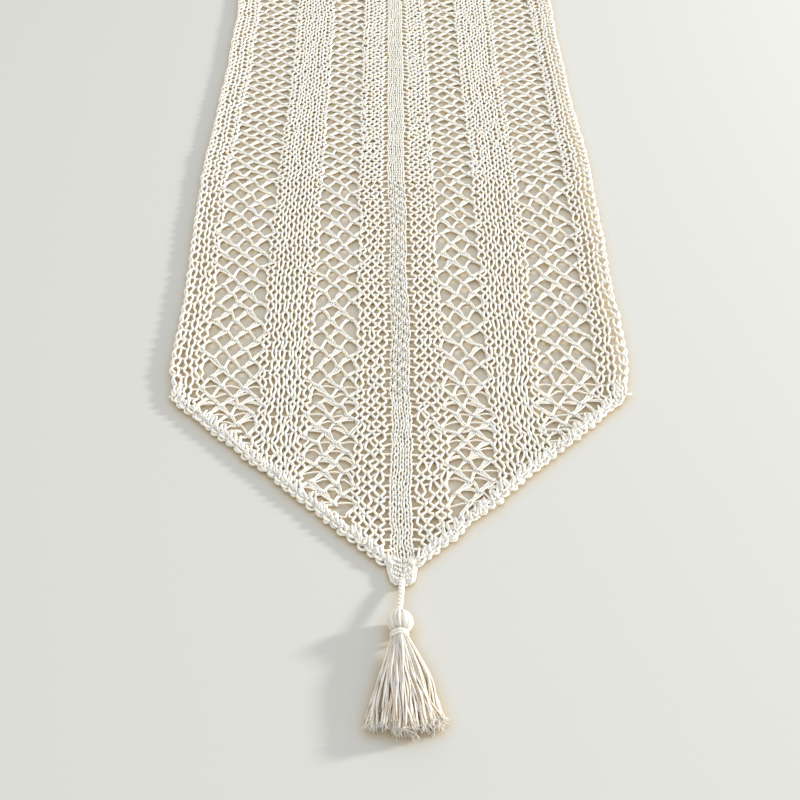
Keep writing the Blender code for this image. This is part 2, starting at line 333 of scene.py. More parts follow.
def loop(base, top, pitch, tight, stretch, reach=HEAD_REACH):
    """Control points of one loop from its left foot to its right one, as (x, y, height)."""
    (bx, by), (tx, ty) = base, top
    neck, middle, head = tight
    neck, middle, head = neck * stretch, middle * stretch, head * stretch
    lean = tx - bx
    rise = ty - by
    middle_height = 0.62 * HIGH + 0.38 * LOW
    left = [
        (bx - 0.5 * (neck + pitch / 2), by - 0.00125, LOW + 0.0005),
        (bx - neck * 1.05, by - 0.0002, 0.5 * (LOW + HIGH)),
        (bx - neck + 0.06 * lean, by + 0.0015, HIGH),
        (bx - middle + 0.42 * lean, by + 0.46 * rise, middle_height + 0.0002),
        (tx - head, ty - 0.0012, middle_height),
        (tx - head * 0.78, ty + reach * 0.62, LOW + 0.0002),
    ]
    right = [
        (bx + 0.5 * (neck + pitch / 2), by - 0.00125, LOW + 0.0005),
        (bx + neck * 1.05, by - 0.0002, 0.5 * (LOW + HIGH)),
        (bx + neck + 0.06 * lean, by + 0.0015, HIGH),
        (bx + middle + 0.42 * lean, by + 0.46 * rise, middle_height + 0.0002),
        (tx + head, ty - 0.0012, middle_height),
        (tx + head * 0.78, ty + reach * 0.62, LOW + 0.0002),
    ]
    return left + [(tx, ty + reach, LOW)] + right[::-1]


def yarn_over(left, right, top):
    """Control points of a yarn over: from the foot on its left over the hole to the foot on its right."""
    (lx, ly), (rx, ry), (tx, ty) = left, right, top
    half_left, half_right = tx - lx, rx - tx
    rise = ty - 0.5 * (ly + ry)
    middle_height = 0.5 * (LOW + HIGH)
    return [
        (lx + 0.0022, ly + 0.0002, LOW + 0.0003),
        (tx - 0.66 * half_left, ly + 0.46 * rise, middle_height),
        (tx - 0.0021, ty - 0.0012, middle_height + 0.0003),
        (tx - 0.0011, ty + 0.0008, LOW + 0.0001),
        (tx, ty + 0.0012, LOW),
        (tx + 0.0011, ty + 0.0008, LOW + 0.0001),
        (tx + 0.0021, ty - 0.0012, middle_height + 0.0003),
        (tx + 0.66 * half_right, ry + 0.46 * rise, middle_height),
        (rx - 0.0022, ry + 0.0002, LOW + 0.0003),
    ]


TIGHT = {  # half widths of a loop's neck, middle and head
    "mesh": (0.0009, 0.0036, 0.0017),
    "dense": (0.0010, 0.0021, 0.0018),
    "edge": (0.0012, 0.0024, 0.0021),
    "lattice": (0.0010, 0.0009, 0.0013),
    "lattice_plain": (0.0010, 0.0032, 0.0018),
}
TIP_TIGHT = (0.0009, 0.0014, 0.0013)
TIP_HEAD_REACH = 0.0013
RIB_TIGHT = (0.00085, 0.00125, 0.0011)
RIB_WALES = 4
RIB_YARN = 0.00074
RIB_LIFT = 0.0005  # how much higher the rib stands than the lace
RIB_HEAD_REACH = 0.0011
PURL_HEIGHT = 0.0048  # rib rows higher than this, in the open end sections, have purl stitches too


def row_points(grid, r):
    """Control points of one row on one side, from beside the rib to the outer edge."""
    level = LEVELS[r]
    room = row_room(r)
    row_height = LEVELS[r + 1] - LEVELS[r]
    count = 0
    points = [
        (RIB_HALF - 0.0030, level + 0.10 * row_height, LOW + 0.0003),
        (RIB_HALF - 0.0002, level - 0.0010, 0.5 * (LOW + HIGH)),
        (RIB_HALF + 0.0022, level - 0.0014, 0.5 * (LOW + HIGH)),
    ]
    for c, (x, band, i) in enumerate(COLUMNS):
        if x > room - WALE_ROOM:
            break
        n = WALES[band]
        pitch = (band_span(band)[1] - band_span(band)[0]) / n
        base = grid.node(c, r)
        top = grid.node(c, r + 1)
        if is_hole(band, i, r):
            if COLUMNS[c + 1][0] < room:
                points += yarn_over(grid.node(c - 1, r), grid.node(c + 1, r), top)
            continue
        tight = TIGHT.get(band, TIGHT["lattice_plain"])
        if is_hole(band, i, r + 1):
            aim = i + grid.lean[c, r]
            if aim < 0 or aim >= n or is_hole(band, aim, r + 1):
                aim = i - grid.lean[c, r]
            top = grid.node(c + aim - i, r + 1)
            tight = TIGHT["lattice"]
        points += loop(base, top, pitch, tight, grid.width[c, r])
        count += 1
    if not count:
        return None
    if abs(level) < CORNER - 0.001:  # the row turns back at the cloth's edge, or ends under the edging
        out = HALF_WIDTH - 0.0014
        points += [
            (out, level - 0.0004, LOW + 0.0003),
            (out + 0.0011, level + 0.32 * row_height, 0.5 * (LOW + HIGH)),
            (out - 0.0002, level + 0.72 * row_height, HIGH),
            (out - 0.0030, level + 0.95 * row_height, HIGH - 0.0002),
            (out - 0.0052, level + 0.80 * row_height, LOW + 0.0003),
        ]
    else:
        points.append((max(points[-1][0] + 0.003, room + 0.001), level - 0.0004, LOW))
    return points


def lace_line(grid, points, steps):
    """The smooth line through control points on one side of the rib, moved as the real stitches are."""
    line = smooth_line(points, steps)
    x, y = place(grid.sign * line[:, 0], line[:, 1])
    z = line[:, 2] + 0.0002 * (HEIGHT_NOISE(x, y) + 1.0) + lift(x, y)
    return np.stack([x, y, z], -1)


def yarn_radius(x):
    """Radius of a row's yarn: thinner in the lattices, where it is stretched between the holes."""
    x = np.abs(x)
    radius = np.full(len(x), YARN)
    for band in ("inner_lattice", "outer_lattice"):
        inner, outer = band_span(band)
        edge = (outer - inner) / WALES[band]
        radius = np.where((x > inner + 0.8 * edge) & (x < outer - 0.8 * edge), LATTICE_YARN, radius)
    return np.convolve(np.pad(radius, 2, mode="edge"), np.ones(5) / 5, mode="valid")


# ---------------------------------------------------------------- materials


def nodes_of(name):
    """A new material, with its nodes, links and shader."""
    material = bpy.data.materials.new(name)
    material.use_nodes = True
    tree = material.node_tree
    return material, tree.nodes, tree.links, tree.nodes["Principled BSDF"]


def math_node(tree, operation, *values):
    """A math node whose inputs are sockets or numbers; gives its output."""
    node = tree.nodes.new("ShaderNodeMath")
    node.operation = operation
    for socket, value in zip(node.inputs, values):
        if isinstance(value, bpy.types.NodeSocket):
            tree.links.new(value, socket)
        else:
            socket.default_value = value
    return node.outputs[0]


def noise_node(tree, vector, scale, detail):
    """The value of a noise texture at a vector."""
    node = tree.nodes.new("ShaderNodeTexNoise")
    node.inputs["Scale"].default_value = scale
    node.inputs["Detail"].default_value = detail
    tree.links.new(vector, node.inputs["Vector"])
    return node.outputs["Fac"]


def yarn_material(name, dark, light, ply, painted_shade, vary, patch, offset=0.28):
    """Plied cotton: each yarn's own tone, ply grooves and fuzz, with painted shade in the ply grooves and
    deep between the yarns.

    ply is the length of one turn of the plies, and painted_shade how much painted shade darkens the colour
    where light hardly reaches.
    vary and patch are how strongly and how often the tone changes along a yarn. offset moves it towards dark.
    """
    material, nodes, links, shader = nodes_of(name)
    tree = material.node_tree
    shader.inputs["Roughness"].default_value = 0.92
    shader.inputs["Sheen Weight"].default_value = 0.3
    shader.inputs["Sheen Roughness"].default_value = 0.5
    shader.inputs["Specular IOR Level"].default_value = 0.12
    shader.inputs["Subsurface Weight"].default_value = 0.5
    shader.inputs["Subsurface Radius"].default_value = (1.0, 0.8, 0.55)
    shader.inputs["Subsurface Scale"].default_value = 0.0026

    uv = nodes.new("ShaderNodeUVMap")
    uv.uv_map = "yarn"
    split = nodes.new("ShaderNodeSeparateXYZ")
    links.new(uv.outputs["UV"], split.inputs["Vector"])
    along, around = split.outputs["X"], split.outputs["Y"]
    phase = math_node(tree, "ADD", math_node(tree, "MULTIPLY", along, 2 * math.pi / ply),
                      math_node(tree, "MULTIPLY", around, 4 * math.pi))
    wave = math_node(tree, "SINE", phase)

    coords = nodes.new("ShaderNodeTexCoord")
    fuzz = noise_node(tree, coords.outputs["Object"], 2600, 3)
    slow = noise_node(tree, coords.outputs["Object"], 150, 4)
    tone_at = nodes.new("ShaderNodeCombineXYZ")
    links.new(math_node(tree, "MULTIPLY", along, float(patch)), tone_at.inputs["X"])
    tone = noise_node(tree, tone_at.outputs["Vector"], 1.0, 2)

    bump = nodes.new("ShaderNodeBump")
    bump.inputs["Strength"].default_value = 0.55
    bump.inputs["Distance"].default_value = 0.00028
    links.new(math_node(tree, "MULTIPLY_ADD", wave, 0.5, fuzz), bump.inputs["Height"])
    links.new(bump.outputs["Normal"], shader.inputs["Normal"])

    # Painted shade: the ambient occlusion darkens and warms the colour deep between the yarns, where light
    # hardly reaches.
    painted_shade_ao = nodes.new("ShaderNodeAmbientOcclusion")
    painted_shade_ao.samples = 4
    painted_shade_ao.inputs["Distance"].default_value = 0.0045
    painted_shade_share = math_node(tree, "MULTIPLY", painted_shade_ao.outputs["AO"], painted_shade)
    # Painted shade in the ply grooves: the colour follows the bump's ply wave and fuzz, lighter on the raised
    # crests and darker in the grooves.
    painted_groove_shade = math_node(tree, "MULTIPLY_ADD", wave, 0.14, math_node(tree, "MULTIPLY", fuzz, 0.25))
    varied = math_node(tree, "MULTIPLY_ADD", math_node(tree, "SUBTRACT", tone, 0.5), vary, 0.375)
    patches = math_node(tree, "ADD", math_node(tree, "MULTIPLY", slow, 0.45), varied)
    mixed = math_node(tree, "ADD", math_node(tree, "ADD", painted_groove_shade, patches), painted_shade_share)
    ramp = nodes.new("ShaderNodeValToRGB")
    ramp.color_ramp.elements[0].color = (*dark, 1)
    ramp.color_ramp.elements[0].position = 0.0
    ramp.color_ramp.elements[1].color = (*light, 1)
    ramp.color_ramp.elements[1].position = 1.0
    links.new(math_node(tree, "SUBTRACT", mixed, offset), ramp.inputs["Fac"])
    links.new(ramp.outputs["Color"], shader.inputs["Base Color"])
    return material


def floor_material():
    """A pale, matt table with painted warm shade close to the yarns, where they shade it and bounce their
    warm light onto it.
    """
    material, nodes, links, shader = nodes_of("pale_table")
    # Painted shade and painted warm bounce light: the ambient occlusion turns the table tan under and beside
    # the yarns and in the holes of the lace.
    painted_shade_ao = nodes.new("ShaderNodeAmbientOcclusion")
    painted_shade_ao.samples = 6
    painted_shade_ao.inputs["Distance"].default_value = 0.011
    painted_shade_tint = nodes.new("ShaderNodeValToRGB")
    painted_shade_tint.color_ramp.elements[0].color = (0.58, 0.475, 0.325, 1)
    painted_shade_tint.color_ramp.elements[0].position = 0.25
    painted_shade_tint.color_ramp.elements[1].color = (0.628, 0.637, 0.618, 1)
    painted_shade_tint.color_ramp.elements[1].position = 1.0
    # The middle of the painted shade: a lighter tan a little further from the yarns.
    between = painted_shade_tint.color_ramp.elements.new(0.62)
    between.color = (0.61, 0.545, 0.425, 1)
    links.new(painted_shade_ao.outputs["AO"], painted_shade_tint.inputs["Fac"])
    links.new(painted_shade_tint.outputs["Color"], shader.inputs["Base Color"])
    shader.inputs["Roughness"].default_value = 0.85
    shader.inputs["Specular IOR Level"].default_value = 0.08
    return material


# ---------------------------------------------------------------- the scene


def add_light(name, place_at, aim, size, energy, colour):
    """A round lamp at one place that shines towards another."""
    data = bpy.data.lights.new(name, "AREA")
    data.shape = "DISK"
    data.size = size
    data.energy = energy
    data.color = colour
    lamp = bpy.data.objects.new(name, data)
    lamp.location = place_at
    lamp.rotation_mode = "QUATERNION"
    lamp.rotation_quaternion = (aim - place_at).to_track_quat("-Z", "Y")
    bpy.context.scene.collection.objects.link(lamp)


def add_stage():
    """The table, the soft light of the room, the window's light and the camera at the photograph's angle."""
    mesh = bpy.data.meshes.new("table")
    mesh.from_pydata([(-8, -6, 0), (8, -6, 0), (8, 10, 0), (-8, 10, 0)], [], [(0, 1, 2, 3)])
    mesh.materials.append(floor_material())
    table = bpy.data.objects.new("table", mesh)
    bpy.context.scene.collection.objects.link(table)

    world = bpy.data.worlds.new("studio")
    bpy.context.scene.world = world
    world.use_nodes = True
    background = world.node_tree.nodes["Background"]
    background.inputs["Color"].default_value = (1.0, 0.99, 0.97, 1)
    background.inputs["Strength"].default_value = 0.91

    aim = Vector((0, -0.5, 0))
    turn, rise, far = math.radians(78), math.radians(16), 3.0
    side = Vector((math.sin(turn) * far, math.cos(turn) * far, far * math.tan(rise)))
    add_light("window_light", aim + side, aim, size=0.34, energy=106, colour=(1.0, 0.985, 0.95))

    camera = bpy.data.objects.new("camera", bpy.data.cameras.new("camera"))
    camera.data.lens = 50
    camera.data.sensor_width = 36
    camera.location = (-0.0062, -1.1023, 0.608)
    camera.rotation_euler = (math.radians(44), 0, math.radians(-0.6))
    bpy.context.scene.collection.objects.link(camera)
    bpy.context.scene.camera = camera
    bpy.context.scene.view_settings.view_transform = "Standard"
    bpy.context.scene.view_settings.exposure = 0.0


def second_strands(grid, r):
    """The second strand over each hole of the lattices in row r, the bump beside it, and threads across."""
    lines = []
    room = row_room(r)
    in_point = abs(LEVELS[r]) > CORNER - 0.012
    for c, (x, band, i) in enumerate(COLUMNS):
        if x > room - HOLE_ROOM or not is_hole(band, i, r):
            continue
        (lx, ly), (rx, ry), (tx, ty) = grid.node(c - 1, r), grid.node(c + 1, r), grid.node(c, r + 1)
        bow = 0.0012 * grid.width[c, r]
        middle = 0.35 * LOW + 0.65 * HIGH
        lines.append([
            (lx - 0.0010, ly - 0.0012, LOW),
            (lx + 0.0006, ly + 0.0016, middle),
            (0.5 * (lx + tx) - bow * 0.9, 0.5 * (ly + ty) + bow * 0.9, middle + 0.0003),
            (tx - 0.0026, ty + 0.0004, middle),
            (tx - 0.0006, ty + 0.0026, LOW + 0.0004),
            (tx + 0.0006, ty + 0.0026, LOW + 0.0004),
            (tx + 0.0026, ty + 0.0004, middle),
            (0.5 * (rx + tx) + bow * 0.9, 0.5 * (ry + ty) + bow * 0.9, middle + 0.0003),
            (rx - 0.0006, ry + 0.0016, middle),
            (rx + 0.0010, ry - 0.0012, LOW),
        ])
        lines.append([
            (tx - 0.0030, ty - 0.0006, LOW + 0.0002),
            (tx - 0.0017, ty + 0.0014, HIGH),
            (tx, ty + 0.0004, HIGH + 0.0003),
            (tx + 0.0017, ty + 0.0016, HIGH),
            (tx + 0.0030, ty - 0.0004, LOW + 0.0002),
        ])
        if in_point:
            lines += threads(grid, c, r)
    return lines


def threads(grid, c, r):
    """Slanting threads across a hole of the point's lace."""
    (lx, ly), (rx, ry), (tx, ty) = grid.node(c - 1, r), grid.node(c + 1, r), grid.node(c, r + 1)
    kind = 1 + (3 * c + 5 * r) % 3
    middle = 0.5 * (LOW + HIGH)
    if kind == 3:
        return [[
            (lx - 0.0004, ly - 0.0006, LOW),
            (lx + 0.0022, ly + 0.0007, middle),
            (tx, 0.5 * (ly + ry) + 0.0014 * grid.width[c, r], middle + 0.0004),
            (rx - 0.0022, ry + 0.0003, middle),
            (rx + 0.0004, ry - 0.0006, LOW),
        ]]
    (nx, ny), (fx, fy) = ((lx, ly), (rx, ry)) if grid.lean[c, r] > 0 else ((rx, ry), (lx, ly))
    way = 1 if fx > nx else -1
    found = []
    for k in range(kind):
        low, high = -0.0003 + 0.0016 * k, 0.0016 * k
        found.append([
            (nx, ny + low, LOW),
            (nx + way * 0.0020, ny + low + 0.0012, middle),
            (tx, 0.5 * (ty + fy) - 0.0012 + high, middle + 0.0004),
            (0.45 * tx + 0.55 * fx, 0.45 * ty + 0.55 * fy + 0.4 * high, LOW),
        ])
    return found


def edge_stitches(grid, end):
    """Loops that tie the last stitch of every wale of the point to the edging."""
    d = ENDS[end]
    r = rng("edge stitches", end, grid.sign)
    lines = []
    for c, (x, _, _) in enumerate(COLUMNS):
        edge = slanted_edge(x)
        knitted = [k for k in range(len(LEVELS) - 1) if x <= row_room(k) - WALE_ROOM]
        last = knitted[-1] + 1 if d > 0 else knitted[0]
        node_x, node_y = grid.node(c, last)
        gap = edge - abs(node_y)
        if gap < -0.001:
            continue
        for k in range(1 if gap < 0.006 else 2):  # two loops where the gap is wide
            wide = r.uniform(0.0014, 0.0032)
            aside = r.normal(0, 0.0012) + 0.0016 * k
            hook = d * (abs(node_y) - 0.0010 + 0.0012 * k)
            near = d * (abs(node_y) + 0.0012 + 0.3 * max(gap, 0) * k)
            feet = (node_x - wide + aside, node_x + wide + aside)
            lines.append([
                (feet[0], d * (slanted_edge(feet[0]) + 0.0008), LOW + 0.0008),
                (node_x - 0.0014, near, HIGH),
                (node_x, hook, LOW + 0.0003),
                (node_x + 0.0014, near, HIGH),
                (feet[1], d * (slanted_edge(feet[1]) + 0.0008), LOW + 0.0008),
            ])
    return lines


def rib_levels():
    """Where the rib's fine rows begin: two for each row of the lace."""
    levels = []
    for low, high in zip(LEVELS, LEVELS[1:]):
        levels += [low, 0.5 * (low + high)]
    return [y for y in levels if abs(y) < TIP - 0.0075]


def add_rib_row(yarns, level, height, row, r):
    """One fine row of the centre rib."""
    pitch = 2 * RIB_HALF / RIB_WALES
    points = [(-RIB_HALF - 0.0002, level - 0.001, LOW)]
    for w in range(RIB_WALES):
        x = -RIB_HALF + (w + 0.5) * pitch
        bx, tx = x + r.normal(0, 0.00022, 2)
        by, ty = r.normal(0, 0.0003, 2)
        top = (tx, level + height + ty)
        stitch = loop((bx, level + by), top, pitch, RIB_TIGHT, r.normal(1, 0.12), RIB_HEAD_REACH)
        if (w + row) % 2 and height > PURL_HEIGHT:  # a purl stitch, whose head lies on top
            stitch = [(x, y, LOW + HIGH - z) for x, y, z in stitch]
        points += stitch
    points.append((RIB_HALF + 0.0002, level - 0.001, LOW))
    line = smooth_line(points, 1)
    x, y = place(line[:, 0], line[:, 1])
    yarns.add(np.stack([x, y, line[:, 2] + RIB_LIFT], -1), RIB_YARN, sides=6)


# ---------------------------------------------------------------- edging, tip and tassels


def bend_over_drop(obj):
    """Cloth that crosses the line over which the point drops: bakes its transform into its mesh; it is not
    bent.
    """
    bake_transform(obj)


def edging_frame(side, end):
    """Centre line of the edging from corner to tip, with its outward direction and length at each point."""
    s, d = SIDES[side], ENDS[end]
    start = np.array([HALF_WIDTH - 0.0150, slanted_edge(HALF_WIDTH - 0.0150) - 0.0004])
    finish = np.array([0.0062, slanted_edge(0.0062) - 0.0004])
    corner = [
        [HALF_WIDTH - 0.0100, CORNER - 0.0150],
        [HALF_WIDTH - 0.0082, CORNER - 0.0080],
        [HALF_WIDTH - 0.0098, CORNER - 0.0015],
    ]
    steps = [start + (finish - start) * t for t in np.linspace(0, 1, 40)]
    flat = np.array(corner + steps)
    line = smooth_line(np.column_stack([flat, np.zeros(len(flat))]), 6)[:, :2]
    wobble = smooth_noise(f"edging {side} {end}", 0.035)
    tangent = np.gradient(line, axis=0)
    tangent /= np.linalg.norm(tangent, axis=1, keepdims=True)
    outward = np.column_stack([-tangent[:, 1], tangent[:, 0]])
    outward *= np.sign(outward[:, :1])
    line = line + outward * 0.0007 * wobble(line[:, :1], line[:, 1:])
    length = np.concatenate([[0], np.cumsum(np.linalg.norm(np.diff(line, axis=0), axis=1))])
    return line, outward, length, s, d


def along_edging(frame_of, gone, out, up):
    """Points beside the edging's centre line: distance gone along it, out from it and up from the table."""
    line, outward, length, s, d = frame_of
    gone = np.asarray(gone, float)
    x = np.interp(gone, length, line[:, 0]) + np.interp(gone, length, outward[:, 0]) * out
    y = np.interp(gone, length, line[:, 1]) + np.interp(gone, length, outward[:, 1]) * out
    return np.stack([s * x, d * y, np.asarray(up, float) + 0 * gone], -1)


def add_edging(side, end):
    """The crochet edging of one slanted edge: its core, two layers of scallops and the slanting stitches."""
    yarns = Yarns()
    r = rng("edging", side, end)
    f = edging_frame(side, end)
    total = f[2][-1]
    gone = np.arange(0.0, total, 0.0012)
    core = ((-0.0030, 0.0034, 0.0007), (-0.0010, 0.0041, 0.0008), (0.0008, 0.0030, 0.0007))
    for k, (out, up, swing) in enumerate(core):
        wave = smooth_noise(f"strand {side} {end} {k}", 0.016)
        aside = out + swing * wave(gone, 0 * gone)
        high = up + 0.0004 * wave(gone, 0 * gone + 0.5)
        yarns.add(along_edging(f, gone, aside, high), 0.00104)
    scallop = 0.0084
    for layer in range(2):
        points = []
        mid = 0.004 + 0.003 * layer
        while mid < total - scallop:
            width = scallop * r.uniform(0.75, 1.2)
            mid += 0.5 * width
            reach = (0.0040 - 0.0012 * layer) * r.uniform(0.7, 1.15)
            low = 0.0011 + 0.0011 * layer
            outline = (
                (-0.46, -0.0006, 0.0010), (-0.30, 0.62 * reach, 0.0016), (-0.06, reach, 0.0019),
                (0.20, reach * 0.94, 0.0018), (0.38, 0.4 * reach, 0.0012),
            )
            for share, out, up in outline:
                points.append((mid + share * width, out, up + low))
            mid += 0.5 * width
        points = smooth_line(points, 3)
        yarns.add(along_edging(f, points[:, 0], points[:, 1], points[:, 2]), 0.00100)
    mid = 0.010
    while mid < total - 0.008:
        mid += r.uniform(0.0036, 0.0066)
        slant, deep = r.uniform(0.0040, 0.0085), r.uniform(0.0055, 0.0085)
        points = [
            (mid - slant, -deep, 0.0022),
            (mid - 0.55 * slant, -0.62 * deep, 0.0040),
            (mid, -0.0016, 0.0046),
            (mid + 0.0008, 0.0002, 0.0034),
            (mid + 0.0010, 0.0006, 0.0014),
        ]
        points = smooth_line(points, 3)
        yarns.add(along_edging(f, points[:, 0], points[:, 1], points[:, 2]), 0.00096)
    obj = yarns.object(f"crochet_edging_{end}_{side}", EDGING, "edging_yarn")
    bend_over_drop(obj)
    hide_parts(f"edging_{end}_{side}")


def add_tip(end):
    """The blunt tip: short rows of fine stitches inside a rim."""
    yarns = Yarns()
    d = ENDS[end]
    r = rng("tip", end)
    rows, height = 5, 0.0037
    for k in range(rows):
        y = TIP - 0.0196 + height * k
        half = 0.0082 - 0.0003 * k
        count = 5 - k // 3
        pitch = 2 * half / count
        points = [(-half, y, 0.0016)]
        for i in range(count):
            x = -half + (i + 0.5) * pitch
            lean = -0.20 * x + r.normal(0, 0.0006)
            base, top = (x, y + r.normal(0, 0.0003)), (x + lean, y + height)
            stitch = loop(base, top, pitch, TIP_TIGHT, r.normal(1, 0.15), TIP_HEAD_REACH)
            points += [(px, py, pz + 0.0010) for px, py, pz in stitch]
        points.append((half, y, 0.0016))
        line = smooth_line(points, 1)
        line[:, 1] += 0.0014 - 0.42 * np.abs(line[:, 0])
        yarns.add(line * np.array([1, d, 1]), 0.00098)
    rim = [
        (0.0104, 0.0185), (0.0090, 0.0120), (0.0081, 0.0070),
        (0.0072, 0.0034), (0.0048, 0.0016), (0.0, 0.0012),
    ]
    for reach, up, radius in ((0.0, 0.0019, 0.00108), (0.0012, 0.0031, 0.00092)):
        left = [(-x + reach, TIP - y - reach, up) for x, y in rim]
        right = [(x - reach, TIP - y - reach, up) for x, y in rim[-2::-1]]
        points = [(x + r.normal(0, 0.0003), y, z + r.normal(0, 0.0003)) for x, y, z in left + right]
        yarns.add(smooth_line(points, 6) * np.array([1, d, 1]), radius)
    obj = yarns.object(f"tip_stitches_{end}", EDGING, "edging_yarn")
    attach(obj, f"point_{end}")
    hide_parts(f"tip_knot_{end}")


TASSEL_ASIDE = -0.0026  # the cord hangs a little askew


def add_cord(end):
    """The cord in two lengths: one from where it leaves the tip, the other to where it enters the tassel."""
    d = ENDS[end]
    low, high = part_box(f"hanging_cord_{end}")
    near, far = sorted((abs(low.y), abs(high.y)))
    head_low, head_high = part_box(f"tassel_head_{end}")
    start = np.array([-0.0008, d * (near - 0.0038), 0.0030])
    finish = np.array([TASSEL_ASIDE, d * (far + 0.0030), 0.5 * (head_low.z + head_high.z)])
    t = np.linspace(0, 1, 60)
    middle = start + (finish - start) * t[:, None]
    middle[:, 0] += 0.0005 * np.sin(3.0 * t)
    middle[:, 2] += 0.0012 * np.sin(math.pi * t) * (1 - t)
    thin = 1 - 0.22 * t
    bend = 0.5 * (high.z - low.z)
    lengths = (
        ("start", slice(0, 31), f"point_{end}", f"cord_{end}", near + bend),
        ("end", slice(30, 60), f"cord_{end}", f"tassel_{end}", far - bend),
    )
    for name, part, before, after, joint in lengths:
        yarns = Yarns()
        for k in range(3):
            turn = -2 * math.pi * (t * 2.9 + k / 3)
            offset = np.stack([0.00122 * thin * np.cos(turn), 0 * t, 0.00122 * thin * np.sin(turn)], -1)
            yarns.add((middle + offset)[part], (0.00112 * thin)[part], sides=10)
        obj = yarns.object(f"twisted_cord_{name}_{end}", CORD, "cord_yarn")
        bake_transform(obj)
        if name == "start":
            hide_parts(f"hanging_cord_{end}")


def add_head(end):
    """The tassel's head: two layers of yarns folded over a ball."""
    yarns = Yarns()
    d = ENDS[end]
    r = rng("head", end)
    low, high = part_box(f"tassel_head_{end}")
    centre = 0.5 * (np.array(low) + np.array(high)) + np.array([TASSEL_ASIDE + 0.0006, 0.0021 * d, 0])
    ball = 0.5 * (high.z - low.z) - 0.0004
    strand = 0.00095
    for layer, (reach, number) in enumerate(((ball - 2.4 * strand, 24), (ball - strand, 34))):
        for k in range(number):
            turn = 2 * math.pi * (k + 0.8 * r.random()) / number
            tilt = np.linspace(0.16, 0.83, 15) * math.pi
            swirl = turn + r.normal(0, 0.08) + r.normal(0.10, 0.12) * np.sin(tilt)
            swirl = swirl + 0.06 * np.sin(r.uniform(0, 6) + 2 * tilt)
            size = (reach - 0.0006 * r.random()) * (0.97 + 0.05 * np.sin(tilt))
            radial = size * np.sin(tilt)
            out = -1.02 * size * np.cos(tilt)
            points = np.stack([radial * np.cos(swirl), d * out, radial * np.sin(swirl)], -1)
            yarns.add(centre + points, strand * (1.05 if layer else 1.3), sides=8)
    obj = yarns.object(f"tassel_top_{end}", TASSEL, "tassel_yarn")
    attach(obj, f"tassel_{end}")
    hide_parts(f"tassel_head_{end}")


def add_binding(end):
    """The yarn wound round the tassel's neck."""
    yarns = Yarns()
    d = ENDS[end]
    low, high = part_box(f"tassel_binding_{end}")
    centre = 0.5 * (np.array(low) + np.array(high)) + np.array([TASSEL_ASIDE, 0.0006 * d, 0])
    outer = 0.5 * (high.x - low.x)
    t = np.linspace(0, 1, 140)
    turns = 2.7
    angle = 2 * math.pi * turns * t
    width = 0.68 * (high.y - low.y)
    reach = outer - 0.0014 + 0.0003 * np.sin(angle * 0.37)
    y = d * width * (t - 0.5) * 0.92 + 0.0004 * np.sin(angle + 1.0)
    yarns.add(centre + np.stack([reach * np.cos(angle), y, reach * np.sin(angle)], -1), 0.00078, sides=8)
    obj = yarns.object(f"tassel_wrap_{end}", BINDING, "binding_yarn")
    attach(obj, f"tassel_{end}")
    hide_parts(f"tassel_binding_{end}")


SKIRT_STRANDS = 165
BUNCHES = 23  # the strands lie in this many bunches, each with its own sway
FRAYS = 5  # fine ends in which each strand comes apart


